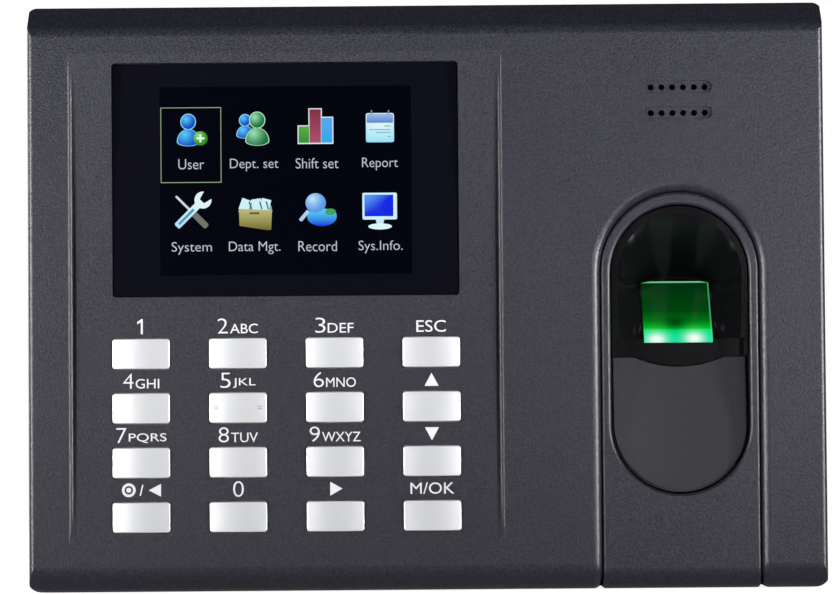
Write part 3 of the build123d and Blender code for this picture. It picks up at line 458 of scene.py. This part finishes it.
def ringPart(outer, inner, thickness, steps=48):
    # A flat ring: two circles of radius outer and inner, front and back, joined all round
    turn = np.linspace(0, 2 * np.pi, steps, endpoint=False)
    loops = [(outer, 0.0), (outer, -thickness), (inner, -thickness), (inner, 0.0)]
    circle = np.column_stack([np.cos(turn), np.zeros(steps), np.sin(turn)])
    verts = np.vstack([r * circle + np.array([0.0, y, 0.0]) for r, y in loops])
    ring = np.arange(steps)
    after = (ring + 1) % steps
    faces = []
    for k in range(4):
        a, b = k * steps, ((k + 1) % 4) * steps
        faces += np.column_stack([ring + a, after + a, after + b, ring + b]).tolist()
    return verts, faces


def discOutline(radius, steps=32):
    # A circle: radius x (cos, sin) of an even turn
    turn = np.linspace(0, 2 * np.pi, steps, endpoint=False)
    return np.column_stack([radius * np.cos(turn), radius * np.sin(turn)])


def ellipse(cx, cz, rx, rz, start=0.0, end=360.0, steps=40):
    # An arc of an ellipse: centre + (rx cos, rz sin) from start to end degrees
    turn = np.radians(np.linspace(start, end, steps, endpoint=(end - start) % 360 != 0))
    return np.column_stack([cx + rx * np.cos(turn), cz + rz * np.sin(turn)])


def rectangle(left, right, low, high, corner=0.0, steps=5):
    # A rectangle walked anticlockwise, with a quarter circle at each corner
    if corner <= 0:
        return np.array([(left, low), (right, low), (right, high), (left, high)])
    quarters = [(right - corner, low + corner, -90), (right - corner, high - corner, 0),
                (left + corner, high - corner, 90), (left + corner, low + corner, 180)]
    return np.vstack([ellipse(cx, cz, corner, corner, a, a + 90, steps) for cx, cz, a in quarters])


def moved(part, x, z):
    # The same part, x further right and z higher
    verts, faces = part
    return verts + np.array([x, 0.0, z]), faces


def legendParts(name):
    # The marks over one key in mm, foot on z = 0 and centred on the key: a digit, a gap and its
    # letters side by side, or a word, an arrow, or a ring, a slash and an arrow
    t = legend["thickness"]
    if name in letterSets:
        letters = letterSets[name]
        wide = legend["letterWidths"][letters]
        total = legend["digitWidth"] + legend["gap"] + wide
        digit = textPart(name[-1], legend["digitWidth"], legend["digitHeight"], t, legend["thin"])
        word = textPart(letters, wide, legend["letterHeight"], t)
        return [moved(digit, -total / 2 + legend["digitWidth"] / 2, 0), moved(word, total / 2 - wide / 2, 0)]
    if name in legend["words"]:
        words, width, height, lift, thin = legend["words"][name]
        return [moved(textPart(words, width, height, t, thin), 0, lift)]
    if name in legend["outlines"]:
        return [prismPart(legend["outlines"][name], t)]
    target = [ringPart(*legend["ring"], t), prismPart(discOutline(legend["dot"]), t)]
    slash = moved(prismPart(legend["slash"], t), *legend["slashAt"])
    arrow = moved(prismPart(legend["arrow"], t), *legend["arrowAt"])
    return [moved(part, *legend["ringAt"]) for part in target] + [slash, arrow]


# The CAD's own figures for the dished panel and for the flange round each key
dish = {"depth": 1.5, "halfHeight": 56.2, "middleZ": 0.3, "keyFlange": 1.0}


def dishStand(z):
    # The dished panel's stand in mm at heights z: front - depth + radius - the root of (radius squared -
    # (z - middle) squared), with radius = (half height squared + depth squared) / (2 x depth)
    radius = (dish["halfHeight"] ** 2 + dish["depth"] ** 2) / (2 * dish["depth"])
    front = -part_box("front_cover")[0].y / mm
    return front - dish["depth"] + radius - np.sqrt(radius ** 2 - (z - dish["middleZ"]) ** 2)


def capHeight():
    # A cap's own height: its box less the flange above and below
    low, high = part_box("key_5")
    return (high.z - low.z) / mm - 2 * dish["keyFlange"]


def makeLegends():
    # Every key's marks, foot a little above the cap, laid on the dished panel: y = own y - (stand - sunk)
    parts = []
    for name in legendKeys:
        x, z, _ = keyFace(name)
        foot = z / mm + capHeight() / 2 + legend["rise"]
        for verts, faces in legendParts(name):
            placed = verts.copy()
            placed[:, 0] += x / mm
            placed[:, 2] += foot
            placed[:, 1] -= dishStand(placed[:, 2]) - legend["sunk"]
            parts.append((placed * mm, faces, np.ones_like(placed)))
    verts, faces, _ = joinParts(parts)
    addPiece("key_legends", verts, faces, inkFinish, "unit")


mark = {"reach": 5.0, "width": 1.1, "bar": 0.24, "apart": 0.5, "raised": 0.08, "sunk": 0.02,
        "crownRadius": 61.0}


def makeMarks():
    # Two short bars at each end of key 5. The cap's face drops from its crown by
    # radius - the root of (radius squared - x squared)
    x, z, front = keyFace("key_5")
    parts = []
    halfWidth, halfBar = mark["width"] / 2, mark["bar"] / 2
    for side in (-1, 1):
        for level in (-0.5, 0.5):
            height = level * mark["apart"]
            outline = rectangle(-halfWidth, halfWidth, height - halfBar, height + halfBar)
            verts, faces = prismPart(outline, mark["raised"])
            verts[:, 0] += side * mark["reach"]
            drop = mark["crownRadius"] - np.sqrt(mark["crownRadius"] ** 2 - verts[:, 0] ** 2)
            verts[:, 1] += front / mm + drop + mark["sunk"]
            verts += np.array([x / mm, 0.0, z / mm])
            parts.append((verts * mm, faces, np.ones_like(verts)))
    verts, faces, _ = joinParts(parts)
    addPiece("key_5_marks", verts, faces, markFinish, "key_5_cap")


makeLegends()
makeMarks()
print("legends made")


screen = {
    "width": 57.6, "height": 43.2, "centreX": -32.0, "centreZ": 27.2, "layer": 0.02, "sheet": 0.03,
    "columns": (-21.6, -7.2, 7.2, 21.6), "iconRows": (12.2, -7.0), "iconScale": 0.93,
    "labelRows": (2.7, -16.3), "labelHeight": 2.35, "tail": 0.55, "thin": 0.008,
    "field": (0.0006, 0.0010, 0.0042), "label": (0.52, 0.52, 0.66),
    "choice": (-28.6, -14.7, -0.4, 16.9), "choiceLine": 0.16, "choiceColour": (0.30, 0.42, 0.22),
}
screenParts = []


def lensStand():
    # The stand of the display lens's face in mm
    return -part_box("lcd_lens")[0].y / mm


def addLit(part, at, layer, tint):
    # Puts a part on the screen: place = centre + (x, z) + scale x its own place, and y = own y - the
    # lens's stand - layer x the layer step. The tint is one colour, or a function of the part's places
    verts, faces = part
    x, z, scale = at
    colours = tint(verts) if callable(tint) else np.tile(tint, (len(verts), 1))
    corner = np.array([screen["centreX"] + x, -lensStand() - layer * screen["layer"], screen["centreZ"] + z])
    placed = verts * np.array([scale, 1.0, scale]) + corner
    screenParts.append((placed * mm, faces, colours))


def patchPart(outline, rings):
    # A closed plate divided in rings: places = centre + share x (outline - centre), share from 0 to 1
    outline = np.asarray(outline, float)
    thickness = screen["sheet"]
    count = len(outline)
    centre = outline.mean(0)
    shares = np.linspace(0, 1, rings + 1)[1:]
    grid = centre + shares[:, None, None] * (outline - centre)[None]
    flat = grid.reshape(-1, 2)
    front = np.column_stack([flat[:, 0], np.full(len(flat), -thickness), flat[:, 1]])
    hub = np.array([[centre[0], -thickness, centre[1]]])
    back = np.column_stack([outline[:, 0], np.zeros(count), outline[:, 1]])
    verts = np.vstack([hub, front, back])
    ring = np.arange(count)
    after = (ring + 1) % count
    faces = np.column_stack([np.zeros(count, int), ring + 1, after + 1]).tolist()
    for k in range(rings - 1):
        a, b = 1 + k * count, 1 + (k + 1) * count
        faces += np.column_stack([ring + a, ring + b, after + b, after + a]).tolist()
    rim, rear = 1 + (rings - 1) * count, 1 + rings * count
    faces += np.column_stack([ring + rim, ring + rear, after + rear, after + rim]).tolist()
    faces.append((ring + rear)[::-1].tolist())
    return verts, faces


def flatShape(outline, at, layer, tint):
    # A flat shape on the screen
    addLit(prismPart(outline, screen["sheet"]), at, layer, tint)


def shadedShape(outline, rings, at, layer, tint):
    # A flat shape divided in rings, so that its tint can change across it
    addLit(patchPart(outline, rings), at, layer, tint)


ballShade = {"left": 0.25, "up": 0.3, "power": 1.5}


def ballTint(dark, light, centre, size):
    # Shades like a lit ball: dark + (light - dark) x (1 - distance / size) to a power, the distance
    # taken from a point up and to the left of the centre
    dark, light = np.array(dark), np.array(light)

    def colours(verts):
        dx = (verts[:, 0] - centre[0] + ballShade["left"] * size) / size
        dz = (verts[:, 2] - centre[1] - ballShade["up"] * size) / size
        share = np.clip(1.0 - np.sqrt(dx ** 2 + dz ** 2), 0, 1)[:, None] ** ballShade["power"]
        return dark + (light - dark) * share
    return colours


def riseTint(low, high, lowZ, highZ):
    # Runs up from low to high: low + (high - low) x (z - lowZ) / (highZ - lowZ), kept between the two
    low, high = np.array(low), np.array(high)

    def colours(verts):
        share = np.clip((verts[:, 2] - lowZ) / (highZ - lowZ), 0, 1)[:, None]
        return low + (high - low) * share
    return colours


def shoulders(cx, foot, halfWidth, height, steps=36):
    # A bust's outline: half an ellipse over three quarters of the height, a shallow arc under the rest
    upper = ellipse(cx, foot + 0.25 * height, halfWidth, 0.75 * height, 0, 180, steps)
    lower = ellipse(cx, foot + 0.25 * height, halfWidth, 0.25 * height, 180, 360, steps)
    return np.vstack([upper, lower[1:-1]])


figure = {"halfWidth": 2.6, "height": 4.0, "head": (1.7, 1.8), "headZ": 5.9, "bodyShade": (1.8, 3.4),
          "headShade": 2.3, "rimGrow": 0.22, "rimShare": 0.75, "rimLift": 0.2}


def bust(cx, foot, size, dark, light, layer, at):
    # A plain figure: a ball over rounded shoulders, on a copy grown by a little as a pale rim
    grow = figure["rimGrow"]
    rim = np.array(light) * figure["rimShare"] + figure["rimLift"]
    halfWidth, height = figure["halfWidth"] * size, figure["height"] * size
    headZ = foot + figure["headZ"] * size
    headX, headHeight = figure["head"][0] * size, figure["head"][1] * size
    shadedShape(shoulders(cx, foot - grow / 2, halfWidth + grow, height + grow), 2, at, layer, rim)
    shadedShape(ellipse(cx, headZ, headX + grow, headHeight + grow), 2, at, layer, rim)
    middle, reach = figure["bodyShade"]
    bodyTint = ballTint(dark, light, (cx, foot + middle * size), reach * size)
    shadedShape(shoulders(cx, foot, halfWidth, height), 7, at, layer + 1, bodyTint)
    headTint = ballTint(dark, light, (cx, headZ), figure["headShade"] * size)
    shadedShape(ellipse(cx, headZ, headX, headHeight), 7, at, layer + 1, headTint)


figureBlue = ((0.004, 0.07, 0.55), (0.10, 0.62, 1.0))     # its dark and its light
figureGreen = ((0.01, 0.16, 0.05), (0.32, 0.80, 0.45))
userIcon = {"badge": (2.3, -2.6, 1.75, 1.75), "badgeTint": ((0.03, 0.25, 0.03), (0.25, 0.75, 0.2)),
            "plus": (0.75, 0.95, 0.7)}


def iconUser(at):
    # A figure with a plus sign on a round badge
    bust(-0.7, -4.4, 1.0, *figureBlue, 2, at)
    badge = userIcon["badge"]
    shadedShape(ellipse(*badge), 4, at, 5, ballTint(*userIcon["badgeTint"], badge[:2], 2.2))
    flatShape(rectangle(1.3, 3.3, -2.85, -2.35), at, 7, userIcon["plus"])
    flatShape(rectangle(2.05, 2.55, -3.6, -1.6), at, 8, userIcon["plus"])


def iconDepartment(at):
    # A small blue figure behind a larger green one
    bust(-2.2, -2.6, 0.74, *figureBlue, 2, at)
    bust(0.8, -4.4, 1.05, *figureGreen, 5, at)


shiftIcon = {"foot": -4.2, "frame": (0.75, 0.80, 0.85),
             "bars": [(-4.6, -1.8, 0.2, (0.03, 0.28, 0.03), (0.10, 0.42, 0.06)),
                      (-1.9, 1.1, 4.4, (0.40, 0.08, 0.16), (0.22, 0.03, 0.05)),
                      (1.0, 3.9, 2.3, (0.02, 0.40, 0.85), (0.10, 0.38, 0.85))]}


def iconShift(at):
    # Three bars, each on a pale frame: left, right, top, and its colours low and high
    foot = shiftIcon["foot"]
    for left, right, top, low, high in shiftIcon["bars"]:
        flatShape(rectangle(left - 0.15, right + 0.15, foot, top + 0.2), at, 2, shiftIcon["frame"])
        bar = rectangle(left + 0.1, right - 0.1, foot + 0.3, top - 0.05, 0.1)
        shadedShape(bar, 6, at, 4, riseTint(low, high, foot + 0.2, top))


reportIcon = {"page": ((0.30, 0.75, 0.92), (0.75, 0.93, 0.97)),
              "head": ((0.10, 0.22, 0.60), (0.32, 0.50, 0.85)),
              "lines": ((1.1, 0.1), (-2.6, -0.8), (-1.0, -1.5), (1.9, -2.5)), "ink": (0.25, 0.42, 0.50),
              "pins": (-2.0, 2.2), "pinColour": (0.20, 0.25, 0.32)}


def iconReport(at):
    # A calendar page: a head, lines of writing and two pins
    shadedShape(rectangle(-3.4, 3.5, -3.9, 3.3, 0.5), 6, at, 2, riseTint(*reportIcon["page"], -3.9, 0.8))
    shadedShape(rectangle(-3.2, 3.3, 0.9, 3.1, 0.3), 4, at, 4, riseTint(*reportIcon["head"], 0.9, 3.1))
    for left, z in reportIcon["lines"]:
        flatShape(rectangle(left, 2.7, z - 0.12, z + 0.12), at, 4, reportIcon["ink"])
    for x in reportIcon["pins"]:
        flatShape(rectangle(x - 0.18, x + 0.18, 3.0, 4.0), at, 5, reportIcon["pinColour"])


def turned(outline, degrees, cx=0.0, cz=0.0):
    # An outline turned anticlockwise as the user sees it: (x cos - z sin, x sin + z cos) + centre
    a = math.radians(degrees)
    spin = np.array([[math.cos(a), math.sin(a)], [-math.sin(a), math.cos(a)]])
    return np.asarray(outline) @ spin + np.array([cx, cz])


systemIcon = {"lean": 45, "blade": (0.60, 0.70, 0.72), "grip": (0.16, 0.17, 0.15),
              "shaft": ((0.40, 0.72, 0.92), (0.75, 0.92, 0.97)), "groove": (0.10, 0.30, 0.42),
              "jaw": (0.72, 0.90, 0.96)}


def iconSystem(at):
    # A screwdriver and a spanner, crossed
    lean = systemIcon["lean"]
    flatShape(turned(rectangle(-0.28, 0.28, 0.2, 5.4), lean), at, 2, systemIcon["blade"])
    shadedShape(turned(rectangle(-0.75, 0.75, -5.4, 0.0, 0.5), lean), 4, at, 2, systemIcon["grip"])
    shaft = turned(rectangle(-0.85, 0.85, -5.2, 2.6, 0.4), -lean)
    shadedShape(shaft, 4, at, 4, riseTint(*systemIcon["shaft"], -4, 3))
    flatShape(turned(rectangle(-0.3, 0.3, -4.4, 0.8, 0.2), -lean), at, 6, systemIcon["groove"])
    jaw = np.vstack([ellipse(0, 4.0, 2.1, 2.1, 128, 412), [(0.75, 3.6), (-0.75, 3.6)]])
    flatShape(turned(jaw, -lean), at, 5, systemIcon["jaw"])


dataIcon = {"inside": (0.20, 0.45, 0.60), "sheets": ((-2.4, -20), (0.6, 8), (2.6, -14)),
            "sheetZ": 1.3, "sheetColour": (0.62, 0.88, 0.92),
            "gaps": (-1.0, 1.6, 3.2), "gapLean": 15, "gapColour": (0.05, 0.15, 0.25),
            "folder": ((0.16, 0.13, 0.02), (0.52, 0.50, 0.20)), "slot": (0.08, 0.09, 0.06)}


def iconData(at):
    # A box of leaning sheets: the inside, the sheets, the dark gaps between them, the front and its slot
    flatShape([(-4.0, -0.2), (4.4, -0.2), (4.1, 1.4), (-3.2, 1.9)], at, 2, dataIcon["inside"])
    for k, (x, lean) in enumerate(dataIcon["sheets"]):
        sheet = turned(rectangle(-1.2, 1.2, -1.2, 1.7, 0.1), lean, x, dataIcon["sheetZ"])
        flatShape(sheet, at, 3 + k, dataIcon["sheetColour"])
    for x in dataIcon["gaps"]:
        gap = turned(rectangle(-0.18, 0.18, -0.9, 1.1), dataIcon["gapLean"], x, dataIcon["sheetZ"])
        flatShape(gap, at, 7, dataIcon["gapColour"])
    folder = [(-3.7, -3.6), (3.2, -4.7), (4.1, -4.6), (4.3, 0.2), (-3.8, 0.6)]
    shadedShape(folder, 6, at, 8, riseTint(*dataIcon["folder"], -4.8, 0.6))
    flatShape(rectangle(-1.2, 1.2, -0.75, -0.3, 0.1), at, 10, dataIcon["slot"])


recordIcon = {"pie": ((0.01, 0.05, 0.75), (0.10, 0.70, 0.90)), "slice": (0.06, 0.35, 0.10),
              "lens": ((0.10, 0.32, 0.80), (0.55, 0.80, 0.97)), "handle": (0.45, 0.62, 0.85)}


def iconRecord(at):
    # A thick pie with a green slice, and a magnifying glass over it
    pie = np.vstack([ellipse(1.1, -1.0, 3.6, 1.5, 0, 180, 24), ellipse(1.1, -1.6, 3.6, 2.2, 180, 360, 24)])
    shadedShape(pie, 8, at, 2, riseTint(*recordIcon["pie"], -3.6, 0.6))
    shadedShape(ellipse(3.2, -0.3, 1.3, 0.8), 3, at, 4, recordIcon["slice"])
    shadedShape(ellipse(-0.4, 1.9, 2.5, 2.4), 8, at, 6, ballTint(*recordIcon["lens"], (-0.4, 1.9), 3.2))
    handle = turned(rectangle(-0.45, 0.45, -3.2, 0.0, 0.3), -40, -2.2, 0.0)
    shadedShape(handle, 4, at, 5, recordIcon["handle"])


infoIcon = {"case": (0.62, 0.88, 0.95), "glass": ((0.01, 0.02, 0.75), (0.12, 0.40, 0.95)),
            "neck": (0.55, 0.80, 0.88), "foot": (0.70, 0.92, 0.96)}


def iconInfo(at):
    # A monitor on its stand
    shadedShape(rectangle(-4.4, 4.1, -2.3, 4.3, 0.4), 4, at, 2, infoIcon["case"])
    glass = rectangle(-3.9, 3.2, -1.5, 3.8, 0.15)
    shadedShape(glass, 7, at, 4, ballTint(*infoIcon["glass"], (-2.0, 2.5), 5.0))
    flatShape([(-1.2, -2.2), (-0.8, -3.6), (0.6, -3.6), (1.0, -2.2)], at, 1, infoIcon["neck"])
    shadedShape(ellipse(-0.1, -4.0, 2.9, 0.75), 4, at, 3, infoIcon["foot"])


screenCells = [[(iconUser, "User", 5.9), (iconDepartment, "Dept. set", 11.1), (iconShift, "Shift set", 9.8),
                (iconReport, "Report", 8.2)],
               [(iconSystem, "System", 9.2), (iconData, "Data Mgt.", 11.8), (iconRecord, "Record", 8.8),
                (iconInfo, "Sys.Info.", 10.1)]]


def makeScreen():
    # A dark field, then each cell's icon over its words, then the line round the chosen cell.
    # Words with a tail below the line are taller by the tail and start that much lower
    halfWidth, halfHeight = screen["width"] / 2, screen["height"] / 2
    field = prismPart(rectangle(-halfWidth, halfWidth, -halfHeight, halfHeight), screen["layer"])
    addLit(field, (0, 0, 1), 0, screen["field"])
    for row, iconZ, labelZ in zip(screenCells, screen["iconRows"], screen["labelRows"]):
        for x, (drawIcon, words, width) in zip(screen["columns"], row):
            drawIcon((x, iconZ, screen["iconScale"]))
            tail = screen["tail"] if any(letter in words for letter in "pyg") else 0.0
            part = textPart(words, width, screen["labelHeight"] + tail, screen["sheet"], screen["thin"])
            addLit(part, (x, labelZ - tail, 1), 3, screen["label"])
    left, right, low, high = screen["choice"]
    line = screen["choiceLine"]
    for side in ((left, right, low, low + line), (left, right, high - line, high),
                 (left, left + line, low, high), (right - line, right, low, high)):
        flatShape(rectangle(*side), (0, 0, 1), 2, screen["choiceColour"])
    verts, faces, tints = joinParts(screenParts)
    addPiece("screen_picture", verts, faces, screenFinish, "unit", tints)


makeScreen()
print("display picture made")


stage = {"floorRadius": 0.5, "floorPoints": 96, "floorGap": 0.0002, "paper": (0.9, 0.9, 0.9),
         "roughness": 0.9, "floorGlow": 0.85, "worldSeen": 1.0, "worldLight": 0.03}


def makeFloor():
    # A round sheet of paper just under the case. It glows to the camera only, to meet the white world
    count = stage["floorPoints"]
    floorZ = cadBox[0].z - stage["floorGap"]
    verts = np.column_stack([discOutline(stage["floorRadius"], count), np.full(count, floorZ)])
    mesh = bpy.data.meshes.new("floor")
    mesh.from_pydata(verts.tolist(), [], [list(range(count))])
    floor = bpy.data.objects.new("floor", mesh)
    bpy.context.scene.collection.objects.link(floor)
    material = bpy.data.materials.new("floor_paper")
    material.use_nodes = True
    shader = material.node_tree.nodes["Principled BSDF"]
    shader.inputs["Base Color"].default_value = (*stage["paper"], 1.0)
    shader.inputs["Roughness"].default_value = stage["roughness"]
    shader.inputs["Emission Color"].default_value = (1.0, 1.0, 1.0, 1.0)
    path = material.node_tree.nodes.new("ShaderNodeLightPath")
    glow = mathNode(material.node_tree, "MULTIPLY", path.outputs["Is Camera Ray"], stage["floorGlow"])
    material.node_tree.links.new(glow, shader.inputs["Emission Strength"])
    mesh.materials.append(material)


def makeWorld():
    # White to the camera, and a faint even light on everything else
    world = bpy.data.worlds.new("studio")
    bpy.context.scene.world = world
    world.use_nodes = True
    tree = world.node_tree
    background = tree.nodes["Background"]
    path = tree.nodes.new("ShaderNodeLightPath")
    extra = stage["worldSeen"] - stage["worldLight"]
    seen = mathNode(tree, "MULTIPLY", path.outputs["Is Camera Ray"], extra)
    level = mathNode(tree, "ADD", seen, stage["worldLight"])
    tree.links.new(level, background.inputs["Strength"])
    background.inputs["Color"].default_value = (1.0, 1.0, 1.0, 1.0)


lightTarget = (0.0, -0.02, 0.0)
lights = {
    "soft_left": {"at": (-0.54, -0.87, -0.10), "size": (0.64, 0.38), "power": 5.6},
    "soft_right": {"at": (0.51, -0.89, -0.10), "size": (0.64, 0.38), "power": 5.6},
    "strip_left": {"at": (-1.02, -0.6, -0.05), "size": (0.22, 0.5), "power": 19.0},
    "strip_right": {"at": (1.02, -0.6, -0.05), "size": (0.22, 0.5), "power": 22.0},
    "soft_behind": {"at": (-1.3, 1.0, 0.3), "size": (1.2, 0.8), "power": 9.0},
}


def makeLights():
    # Flat lamps, each turned towards a point just in front of the wall plane
    for name, look in lights.items():
        data = bpy.data.lights.new(name, "AREA")
        data.shape = "RECTANGLE"
        data.size, data.size_y = look["size"]
        data.energy = look["power"]
        lamp = bpy.data.objects.new(name, data)
        bpy.context.scene.collection.objects.link(lamp)
        lamp.location = look["at"]
        lamp.rotation_euler = directionTurn(np.array(lightTarget) - np.array(look["at"]))


def directionTurn(aim):
    # Turns an object's -Z towards aim, with its Y kept as near up as it can be
    return Vector(aim).to_track_quat("-Z", "Y").to_euler()


view = {"distance": 0.85, "lower": 2.0, "roll": 0.45, "lens": 161.2, "sensor": 36.0,
        "aimX": -0.0024, "aimZ": 0.0002}


def makeCamera():
    # A long lens in front of the case and a few degrees below it: place = aim - distance x (0, cos, sin)
    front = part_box("front_cover")[0].y
    data = bpy.data.cameras.new("camera")
    data.lens = view["lens"]
    data.sensor_width = view["sensor"]
    camera = bpy.data.objects.new("camera", data)
    bpy.context.scene.collection.objects.link(camera)
    drop = math.radians(view["lower"])
    target = np.array([view["aimX"], front, view["aimZ"]])
    back = view["distance"] * np.array([0.0, math.cos(drop), math.sin(drop)])
    camera.location = target - back
    turn = directionTurn(back).to_matrix() @ Matrix.Rotation(math.radians(-view["roll"]), 3, "Z")
    camera.rotation_euler = turn.to_euler()
    bpy.context.scene.camera = camera


makeFloor()
makeWorld()
makeLights()
makeCamera()
bpy.context.scene.view_settings.view_transform = "Standard"
print("stage set")
